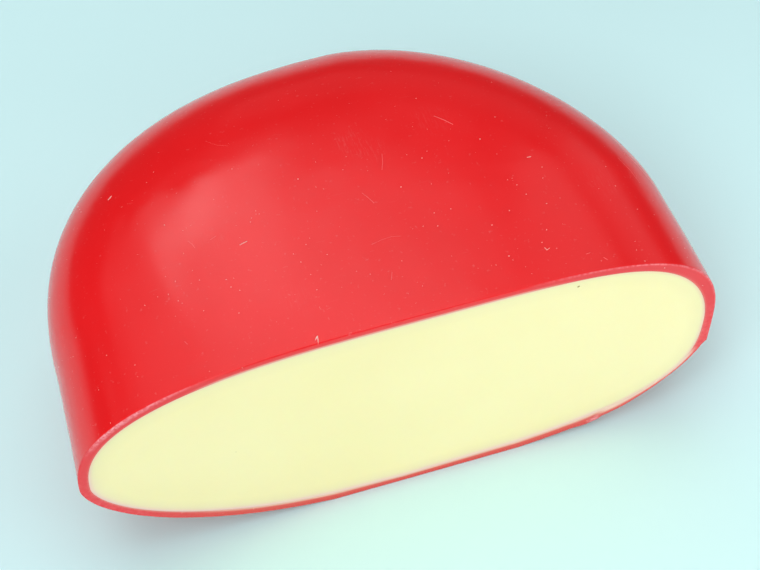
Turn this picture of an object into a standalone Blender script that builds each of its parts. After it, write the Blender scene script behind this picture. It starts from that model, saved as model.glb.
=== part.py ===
"""Half of a butter cheese, cut flat: a soft red coat, open at the cut, and the pale yellow filling inside it.

The half cheese is a flattened round form. Its section at the cut is a rounded oval that runs nearly
straight back for a stretch, narrowing a little on the way, and then rounds off to the back. It stands on
a small flat spot of its rounded foot. +Z is up, the cut faces -Y, and the origin is on the floor, under the
middle of the whole.
"""

import math

import bmesh
import bpy
from mathutils import Vector

MM = 0.001

# Driving sizes of the whole form, in millimetres.
HALF_WIDTH = 92.5  # at the cut
FLARE = (1.2, 1.85)  # how much of it each end, right and left, loses by the end of the straight stretch
FLARE_CURVE = (1.6, 0.8)  # above 1 the end swells out towards the cut, below 1 it draws in behind the rim
UPPER_HEIGHT = 40.5  # from the widest line up to the top
LOWER_HEIGHT = 43.6  # from the widest line down to the rounded foot
FOOT_FLAT = 1.1  # taken off the rounded foot, so that it rests on a flat spot
STRAIGHT_RUN = 36.0  # from the cut to where the back starts to round off
ROUND_DEPTH = 81.5  # from there to the back
BACK_SHIFT = 11.5  # how far the back lies to the right of the middle of the cut

# Roundness of the curves at the right end and at the left end: 2 is a true ellipse, more is squarer. A section
# has one for how it reaches out and one for how it rises.
UPPER_REACH = (4.35, 3.0)
UPPER_RISE = (2.55, 2.5)
LOWER_REACH = (2.8, 2.2)
LOWER_RISE = (2.8, 1.6)
PLAN_ROUNDNESS = (1.7, 2.55)
# The inside of the coat has its own upper curves: the coat is thicker in the upper right corner of the cut.
INNER_REACH = (5.1, 3.0)
INNER_RISE = (2.0, 2.5)

# The coat's wall, in millimetres, and the clearance between the coat and the filling.
SIDE_WALL = 3.1
TOP_WALL = 2.8
FOOT_WALL = 4.2  # below the rounded form, so 3.1 is left at the flat spot
CLEARANCE = 0.3
FACE_RECESS = 0.4  # the coat's edge stands this far proud of the filling's face

# At the lower right the coat's edge was pared thin, and a torn scrap stands out where the paring starts. The
# places are shares of the way up the lower side, from the flat spot to the widest line.
PARED_FROM = 0.34
PARED_TO = 0.9
PARED_DEPTH = 2.2
PARED_LENGTH = 6.0  # how far behind the cut the coat is whole again
RUN_STATIONS = (0.0, PARED_LENGTH, 15.0, 25.0)  # distances behind the cut where the straight stretch is divided
SCRAP_FROM = 0.15
SCRAP_TO = 0.22
SCRAP_HEIGHT = 0.9

# How finely the curves are divided.
ROUND_STEPS = 48
LOWER_STEPS = 16
UPPER_STEPS = 16
WELD = 1e-4

DEPTH = STRAIGHT_RUN + ROUND_DEPTH
FLOOR = -(LOWER_HEIGHT - FOOT_FLAT)


def clear_scene():
    for obj in list(bpy.data.objects):
        bpy.data.objects.remove(obj, do_unlink=True)


def between(ends, theta):
    """The value at an angle round the form, going evenly from the right end (0) to the left end (pi)."""
    right, left = ends
    return right + (left - right) * (1 - math.cos(theta)) / 2


def lower_curve(theta, share):
    """(out, down) on the lower side, each 0 to 1. Share 0 is the edge of the flat spot and 1 the widest line."""
    reach, rise = between(LOWER_REACH, theta), between(LOWER_RISE, theta)
    edge = math.acos((1 - FOOT_FLAT / LOWER_HEIGHT) ** (rise / 2))
    angle = edge + (math.pi / 2 - edge) * share
    return math.sin(angle) ** (2 / reach), max(math.cos(angle), 0.0) ** (2 / rise)


def upper_curve(theta, share, reaches, rises):
    """(out, up) on the upper side, each 0 to 1. Share 0 is the widest line and 1 the top."""
    reach, rise = between(reaches, theta), between(rises, theta)
    angle = math.pi / 2 * share
    return max(math.cos(angle), 0.0) ** (2 / reach), math.sin(angle) ** (2 / rise)


class Form:
    """The form of the half cheese: its outside, or the inside that walls at the sides, top and foot leave."""

    def __init__(self, side=0.0, top=0.0, foot=0.0, front=0.0):
        self.half_width = HALF_WIDTH - side
        self.round_depth = ROUND_DEPTH - side
        self.upper = UPPER_HEIGHT - top
        self.lower = LOWER_HEIGHT - foot
        self.front = front
        self.upper_curves = (INNER_REACH, INNER_RISE) if side else (UPPER_REACH, UPPER_RISE)

    def profile(self, theta, row):
        """(out, height above the widest line) of a row, counted from the middle of the foot to the top."""
        if row == 0:
            return 0.0, -self.lower
        if row <= LOWER_STEPS + 1:
            out, down = lower_curve(theta, (row - 1) / LOWER_STEPS)
            return out, -self.lower * down
        out, up = upper_curve(theta, (row - 1 - LOWER_STEPS) / UPPER_STEPS, *self.upper_curves)
        return out, self.upper * up

    def point(self, station, row):
        """The point of a row at a station, which is an angle round the form and a distance behind the cut."""
        theta, behind = station
        out, height = self.profile(theta, row)
        power = 2 / PLAN_ROUNDNESS[0 if math.cos(theta) > 0 else 1]
        across = math.copysign(abs(math.cos(theta)) ** power, math.cos(theta)) * out
        back = math.sin(theta) ** power * out
        lost = between(FLARE, theta) * (behind / STRAIGHT_RUN) ** between(FLARE_CURVE, theta)
        x = (self.half_width - lost) * across + BACK_SHIFT * back**2
        y = max(behind, self.front) + self.round_depth * back
        z = max(height, FLOOR)
        return Vector((x, y - DEPTH / 2, z - FLOOR))


def stations():
    """Round the form from the right end of the cut to its left end."""
    right = [(0.0, behind) for behind in RUN_STATIONS]
    back = [(math.pi * step / ROUND_STEPS, STRAIGHT_RUN) for step in range(ROUND_STEPS + 1)]
    left = [(math.pi, behind) for behind in reversed(RUN_STATIONS)]
    return right + back + left


STATIONS = stations()
ROWS = 1 + LOWER_STEPS + UPPER_STEPS


def wrap(bm, form):
    """Wraps a flat grid round the form. It stays open at the cut."""
    columns = len(STATIONS) - 1
    grid = bmesh.ops.create_grid(bm, x_segments=columns, y_segments=ROWS, size=1.0)["verts"]
    placed = {}
    for vert in grid:
        column = round((vert.co.x + 1) / 2 * columns)
        row = round((vert.co.y + 1) / 2 * ROWS)
        vert.co = form.point(STATIONS[column], row)
        placed[column, row] = vert
    return placed


def pared(share):
    """How far the paring takes the edge in, or, below zero, how far the torn scrap stands out."""
    if PARED_FROM <= share <= PARED_TO:
        return PARED_DEPTH * math.sin(math.pi * (share - PARED_FROM) / (PARED_TO - PARED_FROM))
    return -SCRAP_HEIGHT if SCRAP_FROM <= share <= SCRAP_TO else 0.0


def pare_edge(outside, inside):
    """Pares the coat's edge at the lower right of the cut, and lets the torn scrap stand out."""
    for step in range(1, LOWER_STEPS):
        edge = outside[0, step + 1]
        inward = (inside[0, step + 1].co - edge.co).normalized()
        edge.co += inward * pared(step / LOWER_STEPS)


def weld(bm):
    bmesh.ops.remove_doubles(bm, verts=bm.verts, dist=WELD)


def open_edges(bm):
    return [edge for edge in bm.edges if edge.is_boundary]


def join_at_cut(bm, outside, inside):
    """Makes the coat's cut edge, row by row, between its outside and its inside."""
    for column in (0, len(STATIONS) - 1):
        for row in range(ROWS):
            outer = [outside[column, row], outside[column, row + 1]]
            inner = [inside[column, row + 1], inside[column, row]]
            bm.faces.new(outer + inner)


def coat_mesh():
    """The outside and the inside of the coat, joined round the cut by its edge."""
    bm = bmesh.new()
    outside = wrap(bm, Form())
    inside = wrap(bm, Form(SIDE_WALL, TOP_WALL, FOOT_WALL))
    pare_edge(outside, inside)
    join_at_cut(bm, outside, inside)
    weld(bm)
    return bm


def filling_mesh():
    """The filling, clear of the coat, with its flat face at the cut."""
    bm = bmesh.new()
    wrap(bm, Form(SIDE_WALL + CLEARANCE, TOP_WALL + CLEARANCE, FOOT_WALL + CLEARANCE, FACE_RECESS))
    weld(bm)
    bmesh.ops.contextual_create(bm, geom=open_edges(bm))
    return bm


def material(name, colour, roughness):
    """A moulded, unmetallic finish of one colour."""
    made = bpy.data.materials.new(name)
    made.use_nodes = True
    shader = made.node_tree.nodes["Principled BSDF"]
    shader.inputs["Base Color"].default_value = (*colour, 1.0)
    shader.inputs["Roughness"].default_value = roughness
    shader.inputs["Metallic"].default_value = 0.0
    return made


def add_piece(name, bm, finish):
    """Turns a mesh in millimetres into an object of the scene, in metres, with its faces pointing out."""
    bmesh.ops.recalc_face_normals(bm, faces=bm.faces)
    bmesh.ops.scale(bm, verts=bm.verts, vec=(MM, MM, MM))
    mesh = bpy.data.meshes.new(name)
    bm.to_mesh(mesh)
    bm.free()
    mesh.shade_smooth()
    mesh.set_sharp_from_angle(angle=math.radians(40))
    mesh.materials.append(finish)
    bpy.context.scene.collection.objects.link(bpy.data.objects.new(name, mesh))


clear_scene()
add_piece("coat", coat_mesh(), material("red satin skin", (0.72, 0.022, 0.026), 0.38))
add_piece("filling", filling_mesh(), material("pale yellow filling", (0.90, 0.87, 0.50), 0.5))
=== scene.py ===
"""The looks of half a butter cheese, lying on a pale table.

It has a satin red coat and a smooth pale yellow filling. Sizes are in metres, in the frame of the solids.
"""

import math
import random

import bmesh
import bpy
import numpy as np
from mathutils import Matrix, Vector, noise
from mathutils.bvhtree import BVHTree


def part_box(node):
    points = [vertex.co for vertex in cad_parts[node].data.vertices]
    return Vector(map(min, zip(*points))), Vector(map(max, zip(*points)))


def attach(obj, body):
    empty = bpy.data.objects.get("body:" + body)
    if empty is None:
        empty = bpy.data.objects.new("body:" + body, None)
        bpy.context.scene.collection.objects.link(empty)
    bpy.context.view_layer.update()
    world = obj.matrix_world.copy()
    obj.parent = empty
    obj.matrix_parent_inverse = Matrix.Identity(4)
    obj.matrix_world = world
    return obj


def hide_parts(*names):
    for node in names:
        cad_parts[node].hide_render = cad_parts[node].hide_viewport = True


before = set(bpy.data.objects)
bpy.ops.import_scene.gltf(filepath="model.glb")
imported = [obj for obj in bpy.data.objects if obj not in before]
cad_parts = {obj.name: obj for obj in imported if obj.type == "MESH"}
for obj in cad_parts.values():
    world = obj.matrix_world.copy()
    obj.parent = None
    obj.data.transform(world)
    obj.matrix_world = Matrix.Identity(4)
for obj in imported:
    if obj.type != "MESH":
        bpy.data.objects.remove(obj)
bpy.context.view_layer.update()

MM = 0.001

# The form of the half cheese, in metres. The outer sizes come from the frame.
COAT_LOW, COAT_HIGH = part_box("coat")
CUT = COAT_LOW[1]
HALF_WIDTH = (COAT_HIGH[0] - COAT_LOW[0]) / 2
WIDEST = 42.5 * MM  # height of the widest line over the table
FOOT_FLAT = 1.1 * MM  # what the flat spot takes off the rounded foot
FLARE = (1.2 * MM, 1.85 * MM)  # how much each end, right and left, loses by the end of the straight stretch
FLARE_CURVE = (1.6, 0.8)
STRAIGHT_RUN = 36.0 * MM
ROUND_DEPTH = COAT_HIGH[1] - CUT - STRAIGHT_RUN
BACK_SHIFT = 11.5 * MM
UPPER = COAT_HIGH[2] - WIDEST
LOWER = WIDEST + FOOT_FLAT
# Roundness of the curves at the right end and at the left end: 2 is a true ellipse, more is squarer.
UPPER_REACH = (4.35, 3.0)
UPPER_RISE = (2.55, 2.5)
LOWER_REACH = (2.8, 2.2)
LOWER_RISE = (2.8, 1.6)
PLAN_ROUNDNESS = (1.7, 2.55)
# The coat is thicker in the upper right corner of the cut, so its inside has its own upper curves.
INNER_REACH = (5.1, 3.0)
INNER_RISE = (2.0, 2.5)

SIDE_WALL = 3.1 * MM
TOP_WALL = 2.8 * MM
FOOT_WALL = 4.2 * MM
FACE_RECESS = 0.15 * MM

# The pared edge at the lower right of the cut, the thick corner above it and the torn scrap below it. Their
# places are shares of the way up the lower side.
PARED_FROM, PARED_TO = 0.34, 0.9
PARED_STEP = (0.875, 0.89)  # where the paring ends in the thick corner
PARED_DEPTH = 2.2 * MM
PARED_LENGTH = 6.0 * MM
SCRAP_FROM, SCRAP_TO = 0.15, 0.262
SCRAP_START = 0.05  # how soon the scrap stands out to its full height
SCRAP_END = 0.012  # how abruptly it ends
SCRAP_SLOPE = 0.2  # how much lower it is at its end
SCRAP_HEIGHT = 1.2 * MM
SCRAP_LENGTH = 2.5 * MM

# How finely the pieces are divided.
ROUND_COLUMNS = 220  # round the coat's outside
INSIDE_COLUMNS = 40
FILLING_COLUMNS = 60
RUN_COLUMNS = 16  # along each straight stretch of the coat's outside
HIDDEN_RUN_COLUMNS = 4  # along those of its inside and of the filling
ROWS = 240
CURVE_STEPS = 400
WELD = 1e-6

COAT_MIDDLE = (COAT_LOW + COAT_HIGH) / 2


def between(ends, theta):
    """The value at an angle round the form, going evenly from the right end (0) to the left end (pi)."""
    right, left = ends
    return right + (left - right) * (1 - math.cos(theta)) / 2


class Form:
    """The form of the half cheese, taken in by a wall at the sides, the top and the foot."""

    def __init__(self, side=0.0, top=0.0, foot=0.0):
        self.half_width = HALF_WIDTH - side
        self.round_depth = ROUND_DEPTH - side
        self.upper = UPPER - top
        self.lower = LOWER - foot
        self.upper_reach, self.upper_rise = (INNER_REACH, INNER_RISE) if side else (UPPER_REACH, UPPER_RISE)

    def rows(self, theta, count):
        """Evenly spaced rows from the foot's middle to the top.

        Gives how far each reaches out, its height over the table and its share of the lower side.
        """
        lower_out, lower_down = 2 / between(LOWER_REACH, theta), 2 / between(LOWER_RISE, theta)
        upper_out, upper_up = 2 / between(self.upper_reach, theta), 2 / between(self.upper_rise, theta)
        edge = math.acos((1 - FOOT_FLAT / LOWER) ** (1 / lower_down))
        share = np.linspace(0, 1, CURVE_STEPS)
        low = edge + (math.pi / 2 - edge) * share
        high = math.pi / 2 * share
        out = np.r_[0, np.sin(low) ** lower_out, np.cos(high).clip(0) ** upper_out]
        down = np.cos(low).clip(0) ** lower_down
        height = np.r_[-self.lower, -self.lower * down, self.upper * np.sin(high) ** upper_up]
        height = np.maximum(height, FOOT_FLAT - LOWER) + WIDEST
        power = 2 / PLAN_ROUNDNESS[0 if math.cos(theta) > 0 else 1]
        across = self.half_width * abs(math.cos(theta)) ** power
        back = self.round_depth * math.sin(theta) ** power
        reach = math.hypot(across, back)
        length = np.r_[0, np.cumsum(np.hypot(np.diff(out) * reach, np.diff(height)))]
        marks = np.linspace(0, length[-1], count + 1)
        share = np.r_[0, share, 1 + share]
        return [np.interp(marks, length, values) for values in (out, height, share)]

    def point(self, theta, behind, out, height):
        power = 2 / PLAN_ROUNDNESS[0 if math.cos(theta) > 0 else 1]
        across = math.copysign(abs(math.cos(theta)) ** power, math.cos(theta)) * out
        back = max(math.sin(theta), 0.0) ** power * out
        lost = between(FLARE, theta) * min(behind / STRAIGHT_RUN, 1.0) ** between(FLARE_CURVE, theta)
        x = (self.half_width - lost) * across + BACK_SHIFT * back**2
        return Vector((x, CUT + behind + self.round_depth * back, height))


def stations(front, run_steps, round_columns):
    """(angle, distance behind the cut) round the form, closer together towards the cut."""
    run = [front + (STRAIGHT_RUN - front) * (step / run_steps) ** 2 for step in range(run_steps)]
    right = [(0.0, behind) for behind in run]
    back = [(math.pi * step / round_columns, STRAIGHT_RUN) for step in range(round_columns + 1)]
    return right + back + [(math.pi, behind) for behind in reversed(run)]


def rise(value, low, high):
    """Smoothly from 0 at low to 1 at high."""
    t = min(max((value - low) / (high - low), 0.0), 1.0)
    return t * t * (3 - 2 * t)


def pared(behind, share):
    """How far the lower right edge is taken in, or, below zero, how far the torn scrap stands out."""
    along = min(max((share - PARED_FROM) / (PARED_TO - PARED_FROM), 0.0), 1.0)
    taken = PARED_DEPTH * math.sin(math.pi * along) * (1 - rise(share, *PARED_STEP))
    scrap = rise(share, SCRAP_FROM, SCRAP_FROM + SCRAP_START)
    scrap *= 1 - rise(share, SCRAP_TO - SCRAP_END, SCRAP_TO)
    scrap *= 1 - SCRAP_SLOPE * rise(share, SCRAP_FROM + SCRAP_START, SCRAP_TO)
    near = max(1 - behind / PARED_LENGTH, 0.0)
    return taken * near - SCRAP_HEIGHT * scrap * max(1 - behind / SCRAP_LENGTH, 0.0)


def lip(behind, share):
    """How much of the way out to its full width the thick corner's lip is drawn, above the pared edge."""
    return rise(share, *PARED_STEP) * max(1 - behind / PARED_LENGTH, 0.0) if share < 1 else 0.0


def wrap(bm, form, places, keep, edge_work=False):
    """Wraps a flat grid round the form.

    It stays open at the cut, and keep remembers the place of each vertex there.
    """
    columns = len(places) - 1
    grid = bmesh.ops.create_grid(bm, x_segments=columns, y_segments=ROWS, size=1.0)["verts"]
    wall = Form(SIDE_WALL, TOP_WALL, FOOT_WALL)
    tables = {theta: (form.rows(theta, ROWS), wall.rows(theta, ROWS)) for theta, _ in places}
    for vert in grid:
        column = round((vert.co.x + 1) / 2 * columns)
        row = round((vert.co.y + 1) / 2 * ROWS)
        theta, behind = places[column]
        (out, height, share), (wall_out, wall_height, _) = tables[theta]
        vert.co = form.point(theta, behind, out[row], height[row])
        if edge_work and theta == 0 and 0 < share[row] < 1:
            inward = wall.point(theta, behind, wall_out[row], wall_height[row]) - vert.co
            vert.co += inward.normalized() * pared(behind, share[row])
            vert.co.x += (HALF_WIDTH - vert.co.x) * lip(behind, share[row])
        if column in (0, columns):
            vert[keep] = row + 1 if column == 0 else -row - 1
    bmesh.ops.remove_doubles(bm, verts=grid, dist=WELD)


def front_edges(bm):
    return [edge for edge in bm.edges if edge.is_boundary]


def finish_mesh(name, bm, material, body="root"):
    """Makes a smooth-shaded object of the mesh that rides on the body."""
    bmesh.ops.recalc_face_normals(bm, faces=bm.faces)
    mesh = bpy.data.meshes.new(name)
    bm.to_mesh(mesh)
    bm.free()
    mesh.shade_smooth()
    mesh.materials.append(material)
    piece = bpy.data.objects.new(name, mesh)
    bpy.context.scene.collection.objects.link(piece)
    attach(piece, body)
    return piece


# The camera. Its place was fitted to the outline in the photograph, for a lens of an assumed focal length.

CAMERA_AZIMUTH = -17.93
CAMERA_ELEVATION = 53.88
CAMERA_DISTANCE = 521.4 * MM
CAMERA_AIM = Vector((5.13, -18.75, 43.5)) * MM
FOCAL_PIXELS = 1800
FRAME_WIDTH, FRAME_HEIGHT = 760, 570
SENSOR = 36.0


def camera_back():
    """The direction from what the camera looks at towards the camera."""
    azimuth, elevation = math.radians(CAMERA_AZIMUTH), math.radians(CAMERA_ELEVATION)
    flat = math.cos(elevation)
    return Vector((math.sin(azimuth) * flat, -math.cos(azimuth) * flat, math.sin(elevation)))


def make_camera():
    back = camera_back()
    camera = bpy.data.objects.new("camera", bpy.data.cameras.new("camera"))
    camera.data.sensor_width = SENSOR
    camera.data.lens = FOCAL_PIXELS / FRAME_WIDTH * SENSOR
    camera.location = CAMERA_AIM + back * CAMERA_DISTANCE
    camera.rotation_euler = (-back).to_track_quat("-Z", "Y").to_euler()
    bpy.context.scene.collection.objects.link(camera)
    bpy.context.scene.camera = camera


def surface_of(piece):
    mesh = piece.data
    faces = [face.vertices[:] for face in mesh.polygons]
    return BVHTree.FromPolygons([vert.co for vert in mesh.vertices], faces)


def spot_on(surface, pixel):
    """(place, normal) of the spot of the surface that shows at a pixel of the photograph."""
    back = camera_back()
    right = Vector((0, 0, 1)).cross(back).normalized()
    up = back.cross(right)
    across, down = pixel[0] - FRAME_WIDTH / 2, pixel[1] - FRAME_HEIGHT / 2
    sight = (right * across - up * down) / FOCAL_PIXELS - back
    place, normal, _, _ = surface.ray_cast(CAMERA_AIM + back * CAMERA_DISTANCE, sight.normalized())
    return place, normal


# The coat.

EDGE_START = 0.4 * MM  # where the outside starts to turn over into the cut edge
# The cut edge's section: share of the wall from the outside to the inside, and depth behind the cut.
EDGE_SECTION = (
    (0.01, 0.22), (0.035, 0.08), (0.08, 0.01), (0.18, 0.0), (0.35, 0.03), (0.6, 0.05),
    (0.8, 0.03), (0.92, 0.0), (0.97, 0.03), (1.0, 0.12), (1.0, 1.0), (1.0, 3.0),
)
INSIDE_FRONT = EDGE_SECTION[-1][1] * MM
WAVE = 0.16 * MM  # depth of the broad unevenness of the skin
WAVE_SCALES = (28, 63)  # the larger, the closer together
WAVE_SHIFT = Vector((7, 1, 4))
RIPPLE = 0.08 * MM
RIPPLE_SCALES = (130, 240)
DIP_HEIGHT = (2 * MM, 8 * MM)  # above the flat spot, where the unevenness starts
RUBBED_CORE = 0.3  # share of a rubbed spot's reach that is rubbed evenly

# The knife left the outer corner of the cut frosted roughly at the upper left. At the upper right the same
# pale pink is a painted highlight, a hair line along the corner.
FROST_WIDTH = 1.9 * MM
HIGHLIGHT_LINE_WIDTH = 0.55 * MM
FROST_OUTSIDE = 0.35 * MM
FROST_FROM, FROST_TO = -90 * MM, -80 * MM  # across the cut, where the rough stretch lies
FROST_START, FROST_FADE = 6 * MM, 28 * MM  # lengths over which it comes and goes
FROST_HEIGHT = (40 * MM, 47 * MM)
FROST_ENDS = (WIDEST + 2 * MM, WIDEST + 9 * MM)
# Where the painted highlight line along the upper right corner comes in, and its strength.
HIGHLIGHT_LINE_FROM, HIGHLIGHT_LINE_TO = 30 * MM, 52 * MM
HIGHLIGHT_LINE_STRENGTH = 0.5
# Along the top between them the cut edge keeps the skin's red, up to a pale line beside the filling that is a
# painted highlight.
SMEARED_FROM = (-62 * MM, -48 * MM)
SMEARED_TO = (28 * MM, 50 * MM)
SMEARED_HEIGHT = (WIDEST, 60 * MM)
RAGGED = 0.07 * MM  # how uneven the knife left the edge
RAGGED_SCALE = 900
LOW_EDGE = (22 * MM, 42 * MM)  # heights between which the lower part of the edge ends
FOOT_EDGE = (6 * MM, 16 * MM)
THIN_EDGE = (59 * MM, 64 * MM)  # where the cut edge beyond the torn scrap starts to fade into the filling
THIN_HEIGHT = (25 * MM, 31 * MM)
SCRAP_PATCH = (59.5 * MM, 2.4 * MM)  # the pale patch on the scrap: its place across the cut, and its reach


def skin_relief(point):
    """How far the skin dips at a point."""
    broad = noise.noise(point * WAVE_SCALES[0]) + 0.5 * noise.noise(point * WAVE_SCALES[1] + WAVE_SHIFT)
    fine = noise.noise(point * RIPPLE_SCALES[0]) + 0.4 * noise.noise(point * RIPPLE_SCALES[1])
    return WAVE * (0.5 + 0.33 * broad) + RIPPLE * (0.5 + 0.5 * fine)


def frost_and_highlight_at(point, away, widest):
    """How frosted the skin or its cut edge is, so far away from the outer corner of the cut; at the upper
    right, how strong the painted highlight line along that corner is.
    """
    rough = rise(point.x, FROST_FROM, FROST_FROM + FROST_START)
    rough *= 1 - rise(point.x, FROST_TO, FROST_TO + FROST_FADE)
    rough *= rise(point.z, *FROST_HEIGHT)
    reach = min(HIGHLIGHT_LINE_WIDTH + (FROST_WIDTH - HIGHLIGHT_LINE_WIDTH) * rough, widest)
    # At the upper right this is a painted highlight line along the corner, not frosting.
    strength = max(rough, HIGHLIGHT_LINE_STRENGTH * rise(point.x, HIGHLIGHT_LINE_FROM, HIGHLIGHT_LINE_TO))
    return strength * rise(point.z, *FROST_ENDS) * max(1 - away / reach, 0.0)


def edge_wear(place, share):
    """Colour shares of the cut edge at a place on it, that share of the wall in from the outside: its own
    edge colour, its frosting with the painted highlight line along the upper right corner, and its fading
    with the painted highlight line beside the filling along the top.
    """
    smeared = rise(place.x, *SMEARED_FROM) * (1 - rise(place.x, *SMEARED_TO)) * rise(place.z, *SMEARED_HEIGHT)
    low = 1 - rise(place.z, *LOW_EDGE)
    foot = 1 - rise(place.z, *FOOT_EDGE)
    thin = (1 - rise(place.z, *THIN_HEIGHT)) * rise(place.x, *THIN_EDGE)
    patch = 1 - rise(abs(place.x - SCRAP_PATCH[0]), 0.2 * SCRAP_PATCH[1], SCRAP_PATCH[1])
    cut = 1 - 0.8 * smeared * (1 - rise(share, 0.2, 0.6))
    frost_and_highlight = frost_and_highlight_at(place, share * SIDE_WALL, FROST_WIDTH) + 0.8 * low * patch * (1 - rise(share, 0.25, 0.6))
    # Pale where the edge fades into the filling; along the top, the pale line beside the filling is a painted
    # highlight.
    faded_and_highlight = thin * rise(share, 0.25, 0.65) + 0.6 * smeared * rise(share, 0.6, 0.92)
    faded_and_highlight += (0.45 * (low - thin) + 0.2 * (1 - low)) * rise(share, 0.75, 1.0)
    faded_and_highlight += 0.6 * foot * (1 - thin) * rise(share, 0.55, 0.85)
    return cut, frost_and_highlight, faded_and_highlight


def cut_edge(bm, keep, cut, frost_and_highlight, faded_and_highlight, inner_rows):
    """Turns the coat's outside over into the cut edge and runs it back along the filling."""
    edges = front_edges(bm)
    outer = {vert[keep]: vert.co.copy() for edge in edges for vert in edge.verts}
    wall = Form(SIDE_WALL, TOP_WALL, FOOT_WALL)
    for share, depth in EDGE_SECTION:
        made = bmesh.ops.extrude_edge_only(bm, edges=edges)["geom"]
        edges = [item for item in made if isinstance(item, bmesh.types.BMEdge)]
        for vert in (item for item in made if isinstance(item, bmesh.types.BMVert)):
            row, theta = abs(vert[keep]) - 1, 0.0 if vert[keep] > 0 else math.pi
            out, height, _ = inner_rows[theta]
            inner = wall.point(theta, 0.0, out[row], height[row])
            place = outer[vert[keep]].lerp(inner, share)
            ragged = RAGGED * noise.noise(place * RAGGED_SCALE) * (1 - share) if share < 1 else 0.0
            vert.co = (place.x, CUT + depth * MM + max(ragged, 0.0), place.z)
            vert[cut], vert[frost_and_highlight], vert[faded_and_highlight] = edge_wear(place, share)


def make_coat(material):
    bm = bmesh.new()
    keep = bm.verts.layers.int.new("place")
    cut = bm.verts.layers.float.new("cut")
    frost_and_highlight = bm.verts.layers.float.new("frost_and_highlight")
    wrap(bm, Form(), stations(EDGE_START, RUN_COLUMNS, ROUND_COLUMNS), keep, edge_work=True)
    rubbed = bm.verts.layers.float.new("rubbed")
    skin = BVHTree.FromBMesh(bm)
    patches = [(spot_on(skin, (x, y))[0], reach * MM, strength) for x, y, reach, strength in RUBBED_SPOTS]
    for vert in bm.verts:
        vert[frost_and_highlight] = frost_and_highlight_at(vert.co, vert.co.y - CUT, FROST_OUTSIDE)
        for centre, reach, strength in patches:
            vert[rubbed] += strength * (1 - rise((vert.co - centre).length, RUBBED_CORE * reach, reach))
    bmesh.ops.recalc_face_normals(bm, faces=bm.faces)
    bm.normal_update()
    dips = [(vert, vert.normal * skin_relief(vert.co)) for vert in bm.verts if vert.co.z > DIP_HEIGHT[0]]
    for vert, dip in dips:
        vert.co -= dip * rise(vert.co.z, *DIP_HEIGHT)
    wall = Form(SIDE_WALL, TOP_WALL, FOOT_WALL)
    faded_and_highlight = bm.verts.layers.float.new("faded_and_highlight")
    cut_edge(bm, keep, cut, frost_and_highlight, faded_and_highlight, {theta: wall.rows(theta, ROWS) for theta in (0.0, math.pi)})
    wrap(bm, wall, stations(INSIDE_FRONT, HIDDEN_RUN_COLUMNS, INSIDE_COLUMNS), keep)
    bmesh.ops.remove_doubles(bm, verts=bm.verts, dist=WELD)
    bm.verts.layers.int.remove(keep)
    piece = finish_mesh("coat_skin", bm, material)
    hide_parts("coat")
    return piece


# The filling.

FILLING_BITE = 0.05 * MM  # how far the filling reaches into the coat's wall, so that no gap shows
RIM_RISE = 0.1 * MM  # the face climbs this much where it meets the coat
RIM_REACH = 1.1 * MM
FACE_SWELL = 0.12 * MM  # how uneven the face is
SWELL_SCALE = 30
SWELL_INSET = 8 * MM
BLUSH_REACH = 1.1 * MM
BLUSH_HEIGHT = (38 * MM, 62 * MM)
# Distances in from the coat at which the face is divided, in millimetres.
FACE_RINGS = (0.15, 0.35, 0.6, 0.9, 1.3, 1.8, 2.5, 3.5, 5.0, 7.0, 10.0, 14.0, 19.0, 25.0, 31.0)


def blush_at(inset, point):
    """How pink the face is from the coat, that far in from it: most at the foot and at both ends."""
    low = 1 - rise(point.z, *BLUSH_HEIGHT)
    low *= 1 - 0.6 * rise(point.x, *THIN_EDGE)
    return (0.12 + 0.88 * low) * math.exp(-inset / (BLUSH_REACH * (0.35 + 0.65 * low)))


def face_depth(inset, x, z):
    """How far behind the cut the face lies, that far in from the coat."""
    climb = RIM_RISE * math.exp(-inset / RIM_REACH)
    swell = FACE_SWELL * noise.noise(Vector((x * SWELL_SCALE, z * SWELL_SCALE, 3.0)))
    return FACE_RECESS - climb + swell * rise(inset, 0.0, SWELL_INSET)


def make_filling(material):
    bm = bmesh.new()
    keep = bm.verts.layers.int.new("place")
    edge_distance = bm.verts.layers.float.new("inset")
    blush = bm.verts.layers.float.new("blush")
    body = Form(SIDE_WALL - FILLING_BITE, TOP_WALL - FILLING_BITE, FOOT_WALL - FILLING_BITE)
    front = face_depth(0.0, 0.0, 0.0)
    wrap(bm, body, stations(front, HIDDEN_RUN_COLUMNS, FILLING_COLUMNS), keep)
    edges = front_edges(bm)
    outline = {vert[keep]: vert.co.copy() for edge in edges for vert in edge.verts}
    for vert in {vert for edge in edges for vert in edge.verts}:
        vert[blush] = blush_at(0.0, vert.co)
    high = max(point.z for point in outline.values())
    low = min(point.z for point in outline.values())
    middle, half_height = (high + low) / 2, (high - low) / 2
    for ring in FACE_RINGS:
        inset = ring * MM
        made = bmesh.ops.extrude_edge_only(bm, edges=edges)["geom"]
        edges = [item for item in made if isinstance(item, bmesh.types.BMEdge)]
        for vert in (item for item in made if isinstance(item, bmesh.types.BMVert)):
            point = outline[vert[keep]]
            x = point.x * (1 - inset / body.half_width)
            z = middle + (point.z - middle) * (1 - inset / half_height)
            vert.co = (x, CUT + face_depth(inset, x, z), z)
            vert[edge_distance] = ring
            vert[blush] = blush_at(inset, point)
    made = bmesh.ops.contextual_create(bm, geom=edges)["faces"]
    bmesh.ops.triangulate(bm, faces=made)
    bm.verts.layers.int.remove(keep)
    piece = finish_mesh("filling_body", bm, material)
    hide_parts("filling")
    return piece


# Finishes.

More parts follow.
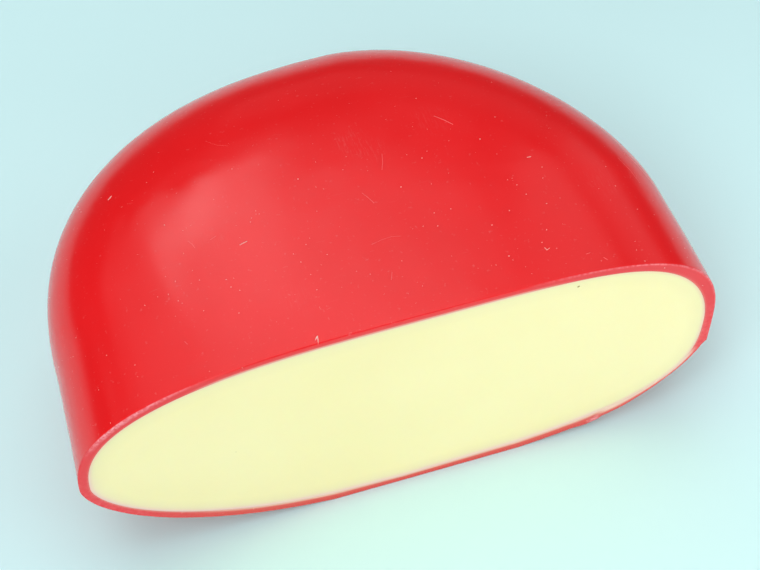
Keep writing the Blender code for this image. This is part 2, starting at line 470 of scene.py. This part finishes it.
SKIN_REDS = ((0.80, 0.006, 0.008, 1), (0.86, 0.008, 0.011, 1))
WORN_PINK = (0.92, 0.42, 0.42, 1)
EDGE_REDS = ((0.78, 0.02, 0.028, 1), (0.83, 0.06, 0.07, 1))
EDGE_AT_FOOT = (0.72, 0.055, 0.04, 1)
EDGE_AT_TOP = (0.76, 0.022, 0.03, 1)
EDGE_FOOT_HEIGHT = (6 * MM, 26 * MM)
EDGE_TOP_HEIGHT = (40 * MM, 55 * MM)
# Pale of the edge fading into the filling, also used for the painted highlight line beside the filling along
# the top.
PALE_FADE_AND_HIGHLIGHT = (0.93, 0.66, 0.50, 1)
# Pink of the frosted corner, also used for the painted highlight line along the upper right corner.
FROST_AND_HIGHLIGHT_PINK = (0.92, 0.31, 0.35, 1)
CREAMS = ((0.915, 0.785, 0.41, 1), (0.945, 0.815, 0.45, 1))
# Painted shade on the filling's face along the coat.
PAINTED_SHADE_CREAM = (0.885, 0.76, 0.42, 1)
WARM_CREAM = (0.90, 0.66, 0.40, 1)
BLUSH_PINK = (0.92, 0.58, 0.52, 1)


def new_material(name):
    material = bpy.data.materials.new(name)
    material.use_nodes = True
    return material, material.node_tree, material.node_tree.nodes["Principled BSDF"]


def add(tree, kind, inputs=(), **settings):
    """Adds a node, sets it up, and feeds or sets its inputs."""
    made = tree.nodes.new(kind)
    for key, value in settings.items():
        setattr(made, key, value)
    for socket, value in dict(inputs).items():
        if isinstance(value, bpy.types.NodeSocket):
            tree.links.new(value, made.inputs[socket])
        else:
            made.inputs[socket].default_value = value
    return made


def blend(tree, amount, first, second):
    """Mixes two colours, each a value or a socket."""
    return add(tree, "ShaderNodeMix", {0: amount, 6: first, 7: second}, data_type="RGBA").outputs[2]


def ramp(tree, value, low, high, to_low=0.0, to_high=1.0):
    return add(tree, "ShaderNodeMapRange", {
        "Value": value, "From Min": low, "From Max": high, "To Min": to_low, "To Max": to_high,
    }).outputs["Result"]


def maths(tree, operation, first, second):
    return add(tree, "ShaderNodeMath", {0: first, 1: second}, operation=operation).outputs[0]


def attribute(tree, name):
    return add(tree, "ShaderNodeAttribute", attribute_name=name).outputs["Fac"]


def stretched(tree, coords, rotation, scale):
    """Object coordinates, turned and squeezed, for marks that run one way."""
    turned = add(tree, "ShaderNodeMapping", {"Vector": coords, "Rotation": rotation, "Scale": scale})
    return turned.outputs["Vector"]


def noise_of(tree, coords, scale, detail=2.0, roughness=0.5):
    return add(tree, "ShaderNodeTexNoise", {
        "Vector": coords, "Scale": scale, "Detail": detail, "Roughness": roughness,
    }).outputs["Fac"]


def coat_finish():
    """Satin red skin: soft broad gloss, faint scuffs and a fine bloom of dust."""
    material, tree, shader = new_material("red satin skin")
    coords = add(tree, "ShaderNodeTexCoord").outputs["Object"]
    cloud = ramp(tree, noise_of(tree, coords, 22.0, 3.0), 0.3, 0.7)
    red = blend(tree, cloud, *SKIN_REDS)
    along = stretched(tree, coords, (0.3, 0.2, 0.5), (1, 14, 6))
    scuffs = ramp(tree, noise_of(tree, along, 60.0, 3.0, 0.6), 0.70, 0.8, 0.0, 0.06)
    bloom = ramp(tree, noise_of(tree, coords, 900.0, 2.0), 0.66, 0.80, 0.0, 0.12)
    crossed = stretched(tree, coords, (0.4, 0.9, 0.2), (9, 1, 9))
    hairs = ramp(tree, noise_of(tree, crossed, 300.0, 3.0, 0.7), 0.50, 0.75, 0.0, 0.16)
    scuffs = maths(tree, "MAXIMUM", scuffs, maths(tree, "MULTIPLY", hairs, attribute(tree, "rubbed")))
    worn = blend(tree, maths(tree, "MAXIMUM", scuffs, bloom), red, WORN_PINK)
    edge = blend(tree, ramp(tree, noise_of(tree, coords, 700.0, 3.0), 0.35, 0.7), *EDGE_REDS)
    height = add(tree, "ShaderNodeSeparateXYZ", {0: coords}).outputs["Z"]
    edge = blend(tree, ramp(tree, height, *EDGE_FOOT_HEIGHT), EDGE_AT_FOOT, edge)
    edge = blend(tree, ramp(tree, height, *EDGE_TOP_HEIGHT), edge, EDGE_AT_TOP)
    # The pale fade, which along the top beside the filling is a painted highlight line.
    edge = blend(tree, maths(tree, "MULTIPLY", attribute(tree, "faded_and_highlight"), 0.9), edge, PALE_FADE_AND_HIGHLIGHT)
    sparkle = ramp(tree, noise_of(tree, coords, 1000.0, 3.0), 0.38, 0.62, 0.35, 1.25)
    # Frosting, and along the upper right corner a painted highlight line, in pale pink.
    frosted_and_highlit = maths(tree, "MINIMUM", maths(tree, "MULTIPLY", attribute(tree, "frost_and_highlight"), sparkle), 1.0)
    skin = blend(tree, frosted_and_highlit, blend(tree, attribute(tree, "cut"), worn, edge), FROST_AND_HIGHLIGHT_PINK)
    tree.links.new(skin, shader.inputs["Base Color"])
    satin = ramp(tree, noise_of(tree, coords, 120.0, 4.0), 0.3, 0.7, 0.16, 0.21)
    tree.links.new(satin, shader.inputs["Roughness"])
    grain = add(tree, "ShaderNodeBump", {
        "Height": noise_of(tree, coords, 1400.0, 3.0), "Strength": 0.10, "Distance": 0.05 * MM,
    })
    tree.links.new(grain.outputs["Normal"], shader.inputs["Normal"])
    shader.inputs["IOR"].default_value = 1.42
    shader.inputs["Subsurface Weight"].default_value = 0.12
    shader.inputs["Subsurface Radius"].default_value = (3.0, 0.5, 0.4)
    shader.inputs["Subsurface Scale"].default_value = MM
    return material


def filling_finish():
    """Smooth pale yellow casting with a soft sheen, tinged pink right beside the coat, and darkened by
    painted shade in a band along the coat.
    """
    material, tree, shader = new_material("pale yellow casting")
    coords = add(tree, "ShaderNodeTexCoord").outputs["Object"]
    cloud = ramp(tree, noise_of(tree, coords, 16.0, 4.0), 0.3, 0.7)
    cream = blend(tree, cloud, *CREAMS)
    inset = attribute(tree, "inset")
    # Painted shade: the face is darker within about six millimetres of the coat.
    painted_shade = blend(tree, ramp(tree, inset, 0.6, 6.0), PAINTED_SHADE_CREAM, cream)
    warm = blend(tree, ramp(tree, inset, 0.2, 1.1), WARM_CREAM, painted_shade)
    tree.links.new(blend(tree, attribute(tree, "blush"), warm, BLUSH_PINK), shader.inputs["Base Color"])
    sheen = ramp(tree, noise_of(tree, coords, 90.0, 3.0), 0.3, 0.7, 0.42, 0.5)
    tree.links.new(sheen, shader.inputs["Roughness"])
    grain = add(tree, "ShaderNodeBump", {
        "Height": noise_of(tree, coords, 900.0, 3.0), "Strength": 0.06, "Distance": 0.04 * MM,
    })
    tree.links.new(grain.outputs["Normal"], shader.inputs["Normal"])
    shader.inputs["IOR"].default_value = 1.45
    shader.inputs["Subsurface Weight"].default_value = 0.25
    shader.inputs["Subsurface Radius"].default_value = (4.0, 3.0, 1.5)
    shader.inputs["Subsurface Scale"].default_value = MM
    return material


# The small marks on both: dust, fibres, scratches and the nick in the edge. Their places are pixels of the
# photograph, and each mark is laid on the surface that shows there. The strewn dust has random places.

MARK_TONES = {"dust": (0.86, 0.60, 0.54, 1), "scratch": (0.88, 0.13, 0.13, 1), "speck": (0.30, 0.20, 0.04, 1)}

# x, y, reach in millimetres, strength
RUBBED_SPOTS = (
    (352, 142, 7, 0.8), (372, 150, 6, 0.5), (427, 207, 2.4, 1.0), (118, 432, 6, 0.7), (640, 168, 9, 0.6),
    (215, 238, 6, 0.3), (430, 120, 8, 0.4), (600, 180, 9, 0.3), (300, 300, 8, 0.2),
)

# x, y, size in millimetres
DUST_SPOTS = (
    (110, 198, 0.30), (153.6, 172, 0.26), (146.6, 182.5, 0.2), (78, 207, 0.3), (81, 212, 0.22),
    (164.4, 225, 0.26), (298, 179, 0.34), (316, 187, 0.2), (250.5, 222, 0.26), (232, 169, 0.2),
    (306, 244.4, 0.2), (300.9, 262, 0.24), (293.3, 254, 0.16), (226.3, 279.5, 0.24), (231, 287, 0.24),
    (175.3, 281.4, 0.24), (168.3, 294.4, 0.26), (183.6, 253.3, 0.16), (192.5, 270.5, 0.2),
    (239.7, 290.3, 0.2), (199.5, 280, 0.2), (137.7, 254.6, 0.16), (316.9, 289.7, 0.2), (239, 313, 0.2),
    (135, 365, 0.24), (401, 187, 0.36), (422, 158, 0.3), (480, 139, 0.36), (529, 157, 0.2),
    (542, 167, 0.26), (560, 198, 0.2), (598.7, 188.7, 0.2), (615.4, 185.8, 0.24), (637.5, 209.2, 0.24),
    (654.4, 214.6, 0.2), (624.6, 154, 0.2), (605.8, 166.5, 0.2), (606.3, 131, 0.2), (509, 256, 0.3),
    (513, 260, 0.2), (496, 265, 0.2), (556.7, 248.3, 0.2), (684.7, 248.3, 0.24), (687.4, 257.4, 0.2),
    (645, 261, 0.24), (636.5, 250, 0.2), (664.6, 267.9, 0.26), (702.7, 285.5, 0.26), (516.9, 184.8, 0.28),
    (526.2, 194.3, 0.26), (546.6, 203.5, 0.28), (509.4, 210.6, 0.34), (492, 225, 0.28),
    (450.9, 208.9, 0.24), (434.3, 212.8, 0.24), (437.7, 225.9, 0.26), (423.1, 226.2, 0.2),
    (546.6, 229.8, 0.28), (542, 242.5, 0.26), (427, 151.2, 0.2), (448.9, 140.7, 0.2), (495, 117, 0.28),
    (543, 178, 0.18), (507.6, 179.7, 0.2), (406.8, 154.6, 0.2), (203.6, 310.8, 0.22), (157.7, 296.7, 0.2),
    (144.9, 305.4, 0.24), (116, 428, 0.34), (107, 434, 0.26), (110.5, 423, 0.26), (587, 421, 0.3),
    (590, 421.5, 0.26),
)

# pixels along it, width in millimetres
FIBRES = (
    (((544.4, 247.4), (547, 250), (549.6, 248)), 0.16),
    (((239.7, 245), (243.5, 243), (247.1, 241.2)), 0.16),
    (((108, 200), (110, 198), (111.5, 196)), 0.2),
    (((527, 157.4), (531, 156.6)), 0.14),
)
SCRATCHES = (
    (((586.2, 254.1), (590.2, 252.7)), 0.16),
    (((603.6, 257.4), (607.6, 259.8)), 0.16),
    (((184.6, 341.6), (187.6, 344.4)), 0.14),
    (((434, 116), (444, 120), (453, 124.5)), 0.2),
    (((382, 154), (382.6, 162), (382, 170)), 0.14),
    (((362, 193), (368, 197.5), (374, 203)), 0.14),
    (((371, 245), (381, 240), (392, 236.5), (401, 236)), 0.07),
    (((210, 240), (213, 238), (216, 236)), 0.12),
    (((188, 241), (192, 244), (195, 248)), 0.1),
    (((623, 151), (638, 166), (653, 184)), 0.1),
    (((618, 158), (630, 170), (640, 183)), 0.08),
    (((392, 272), (391.4, 280)), 0.14),
    (((205, 141), (216, 145), (228, 146)), 0.05),
)
NICK_LEGS = (
    (((315.4, 340.2), (316.4, 337.8), (317.5, 336.0)), (0.10, 0.30, 0.22)),
    (((317.5, 336.0), (318.0, 340.0), (318.3, 344.2)), (0.22, 0.20, 0.06)),
)
FILLING_SPECKS = ((578.5, 286.5, 0.8, "speck"), (313, 361, 0.3, "dust"), (236, 452, 0.2, "speck"))

LOOSE_DUST = 420  # crumbs strewn over the whole skin
LOOSE_SIZES = (0.08, 0.24)
LOOSE_FLOOR = 3 * MM  # none lower than this
NEAR_CUT = 12 * MM  # the stretch beside the cut that gets a few more
NEAR_CUT_WEIGHT = 1.6
DUST_SEED = 11
STRAND_STEPS = 4  # between two pixels of a strand
STRAND_SIDES = 6


def fleck(bm, place, normal, size, dice):
    """A squashed crumb that sits on the surface."""
    upright = normal.to_track_quat("Z", "Y").to_matrix().to_4x4()
    turn = upright @ Matrix.Rotation(dice.uniform(0, math.tau), 4, "Z")
    shape = Matrix.Diagonal((size * dice.uniform(1.0, 1.7), size * dice.uniform(0.7, 1.0), size * 0.5, 1))
    placed = Matrix.Translation(place) @ turn @ shape
    bmesh.ops.create_icosphere(bm, subdivisions=1, radius=0.5 * MM, matrix=placed)


def strand(bm, surface, pixels, widths):
    """A thin strand that lies on the surface along the pixels. It is as wide at each as widths says."""
    steps = STRAND_STEPS * (len(pixels) - 1)
    path = []
    for step in range(steps + 1):
        along = step / steps * (len(pixels) - 1)
        first = min(int(along), len(pixels) - 2)
        start, end = Vector(pixels[first]), Vector(pixels[first + 1])
        width = widths[first] + (widths[first + 1] - widths[first]) * (along - first)
        path.append((spot_on(surface, start.lerp(end, along - first))[0], width * MM / 2))
    heading = (path[-1][0] - path[0][0]).normalized()
    level = Matrix.Translation(path[0][0]) @ heading.to_track_quat("Z", "Y").to_matrix().to_4x4()
    ring = bmesh.ops.create_circle(bm, segments=STRAND_SIDES, radius=path[0][1], matrix=level)["verts"]
    edges = list(dict.fromkeys(edge for vert in ring for edge in vert.link_edges))
    first_rim = edges
    for (last, thin), (place, thick) in zip(path, path[1:]):
        made = bmesh.ops.extrude_edge_only(bm, edges=edges)["geom"]
        verts = [item for item in made if isinstance(item, bmesh.types.BMVert)]
        edges = [item for item in made if isinstance(item, bmesh.types.BMEdge)]
        bmesh.ops.translate(bm, verts=verts, vec=place - last)
        growth = Vector((1, 1, 1)) * thick / thin
        bmesh.ops.scale(bm, verts=verts, vec=growth, space=Matrix.Translation(-place))
    for rim in (first_rim, edges):
        bmesh.ops.holes_fill(bm, edges=rim, sides=STRAND_SIDES)


def mark_finish(name):
    material, tree, shader = new_material(name)
    coords = add(tree, "ShaderNodeTexCoord").outputs["Object"]
    tone = MARK_TONES[name]
    pale = tuple(min(1.0, value * 1.12) for value in tone[:3]) + (1,)
    colour = blend(tree, ramp(tree, noise_of(tree, coords, 260.0), 0.35, 0.65), tone, pale)
    tree.links.new(colour, shader.inputs["Base Color"])
    shader.inputs["Roughness"].default_value = 0.6
    return material


def strew_loose_dust(bm, coat, dice):
    """Crumbs at random places over the outside of the skin, a few more beside the cut.

    A mesh can list its faces in another order each time it is made, so they are put in order of place first.
    """
    verts = coat.data.vertices
    outside = [face for face in coat.data.polygons if face.normal.dot(face.center - COAT_MIDDLE) > 0]
    corners = sorted(sorted(verts[number].co[:] for number in face.vertices) for face in outside)
    patches = [(Vector(places[0]), Vector(places[1]), Vector(places[-1])) for places in corners]
    across = [(middle - first).cross(last - first) for first, middle, last in patches]
    near = [NEAR_CUT_WEIGHT if first.y < CUT + NEAR_CUT else 1.0 for first, _, _ in patches]
    weights = [normal.length * more for normal, more in zip(across, near)]
    for number in dice.choices(range(len(patches)), weights=weights, k=LOOSE_DUST):
        first, middle, last = patches[number]
        place = first.lerp(last, dice.random()).lerp(middle, 0.5 * dice.random())
        normal = across[number].normalized()
        if normal.dot(place - COAT_MIDDLE) < 0:
            normal.negate()
        if place.z > LOOSE_FLOOR:
            fleck(bm, place, normal, dice.uniform(*LOOSE_SIZES) * dice.uniform(0.6, 1.0), dice)


def make_marks(coat, filling):
    dice = random.Random(DUST_SEED)
    skin, face = surface_of(coat), surface_of(filling)
    dust = bmesh.new()
    for x, y, size in DUST_SPOTS:
        fleck(dust, *spot_on(skin, (x, y)), size, dice)
    strew_loose_dust(dust, coat, dice)
    fibres = bmesh.new()
    for pixels, width in FIBRES:
        strand(fibres, skin, pixels, (width,) * len(pixels))
    scratches = bmesh.new()
    for pixels, width in SCRATCHES:
        strand(scratches, skin, pixels, (width,) * len(pixels))
    nick = bmesh.new()
    for pixels, widths in NICK_LEGS:
        strand(nick, skin, pixels, widths)
    specks = {"dust": bmesh.new(), "speck": bmesh.new()}
    for x, y, size, tone in FILLING_SPECKS:
        fleck(specks[tone], *spot_on(face, (x, y)), size, dice)
    tones = {name: mark_finish(name) for name in MARK_TONES}
    finish_mesh("dust_flecks", dust, tones["dust"])
    finish_mesh("lint_fibres", fibres, tones["dust"])
    finish_mesh("scratch_lines", scratches, tones["scratch"])
    finish_mesh("nick_flake", nick, tones["dust"])
    finish_mesh("filling_dust", specks["dust"], tones["dust"])
    finish_mesh("filling_specks", specks["speck"], tones["speck"])


# The table and the light.

TABLE_COLOUR = (0.64, 0.925, 0.945, 1)
TABLE_SIZE = 2.0


def make_table():
    material, _, shader = new_material("pale table")
    shader.inputs["Base Color"].default_value = TABLE_COLOUR
    shader.inputs["Roughness"].default_value = 0.7
    shader.inputs["Specular IOR Level"].default_value = 0.1
    bm = bmesh.new()
    bmesh.ops.create_grid(bm, x_segments=1, y_segments=1, size=TABLE_SIZE)
    mesh = bpy.data.meshes.new("table")
    bm.to_mesh(mesh)
    bm.free()
    mesh.materials.append(material)
    table = bpy.data.objects.new("table", mesh)
    bpy.context.scene.collection.objects.link(table)


LAMP_DISTANCE = 1.3
NEAR_DISTANCE = 0.5
WHITE = (1.0, 1.0, 1.0)
ROOM_COLOUR = (0.95, 1.0, 1.0, 1)
ROOM_STRENGTH = 0.12


def softbox(name, azimuth, elevation, distance, size, radiance, colour=WHITE):
    """A soft lamp aimed at the cheese, by its direction in degrees (azimuth 0 is behind it, along +Y)."""
    turn, lift = math.radians(azimuth), math.radians(elevation)
    flat = math.cos(lift)
    place = Vector((math.sin(turn) * flat, math.cos(turn) * flat, math.sin(lift))) * distance
    light = bpy.data.lights.new(name, "AREA")
    light.shape = "RECTANGLE"
    light.size, light.size_y = size
    light.energy = radiance * math.pi * size[0] * size[1]
    light.color = colour
    lamp = bpy.data.objects.new(name, light)
    lamp.location = place
    lamp.rotation_euler = place.to_track_quat("Z", "Y").to_euler()
    bpy.context.scene.collection.objects.link(lamp)


# The window behind the cheese: for each elevation the radiance of its panes, from left to right. The
# strengths were solved by least squares from the brightness of the photograph, then rounded and scaled up
# a little. Those at 40 and 32 degrees were then changed or added.
PANE_AZIMUTHS = (-48, -36, -24, -12, 0, 12, 24)
PANE_SPAN = (12, 8)
WINDOW = {
    64: (0.0, 0.0, 0.3, 1.0, 0.9, 1.2, 2.4),
    56: (0.0, 0.7, 1.5, 2.1, 2.6, 1.8, 1.0),
    48: (1.2, 1.1, 3.1, 4.1, 2.3, 0.4, 0.2),
    40: (0.85, 0.55, 1.1, 0.0, 0.1, 0.1, 0.3),
    32: (0.5, 0.3, 0.0, 0.0, 0.0, 0.0, 0.0),
}
# Name, azimuth, elevation, distance, size, radiance. Most started from the same solution and were then
# changed.
SOFTBOXES = (
    ("key", -135, 50, LAMP_DISTANCE, (0.69, 0.46), 4.9),
    ("key_fill", -150, 16, LAMP_DISTANCE, (0.93, 0.46), 3.2),
    ("ceiling", -12, 82, LAMP_DISTANCE, (1.0, 1.0), 0.5),
    ("skylight", -5, 79, LAMP_DISTANCE, (1.0, 0.4), 1.3),
    ("left_wall", -67.5, 28, LAMP_DISTANCE, (0.46, 0.46), 0.8),
    ("high_left", -120, 70, LAMP_DISTANCE, (0.51, 0.46), 3.1),
    ("high_right", 45, 50, LAMP_DISTANCE, (0.33, 0.46), 0.9),
    ("back_wall", 33, 26, LAMP_DISTANCE, (1.6, 0.4), 0.17),
    ("right_rear", 56, 29, LAMP_DISTANCE, (0.45, 0.40), 0.4),
    ("front_near", 165, 10, NEAR_DISTANCE, (0.20, 0.15), 3.8),
    ("right_near", 130, 22, NEAR_DISTANCE, (0.20, 0.15), 4.0),
    ("right_wall", 100, 40, LAMP_DISTANCE, (0.6, 0.46), 1.9),
)


def light_scene():
    full_width, height = (2 * LAMP_DISTANCE * math.tan(math.radians(span / 2)) for span in PANE_SPAN)
    for elevation, radiances in WINDOW.items():
        size = (full_width * math.cos(math.radians(elevation)), height)
        for azimuth, radiance in zip(PANE_AZIMUTHS, radiances):
            if radiance:
                name = f"pane_{elevation}_{azimuth}"
                softbox(name, azimuth, elevation, LAMP_DISTANCE, size, radiance)
    for lamp in SOFTBOXES:
        softbox(*lamp)
    world = bpy.data.worlds.new("room")
    world.use_nodes = True
    world.node_tree.nodes["Background"].inputs["Color"].default_value = ROOM_COLOUR
    world.node_tree.nodes["Background"].inputs["Strength"].default_value = ROOM_STRENGTH
    bpy.context.scene.world = world


make_marks(make_coat(coat_finish()), make_filling(filling_finish()))
make_table()
light_scene()
make_camera()
bpy.context.scene.view_settings.view_transform = "Standard"
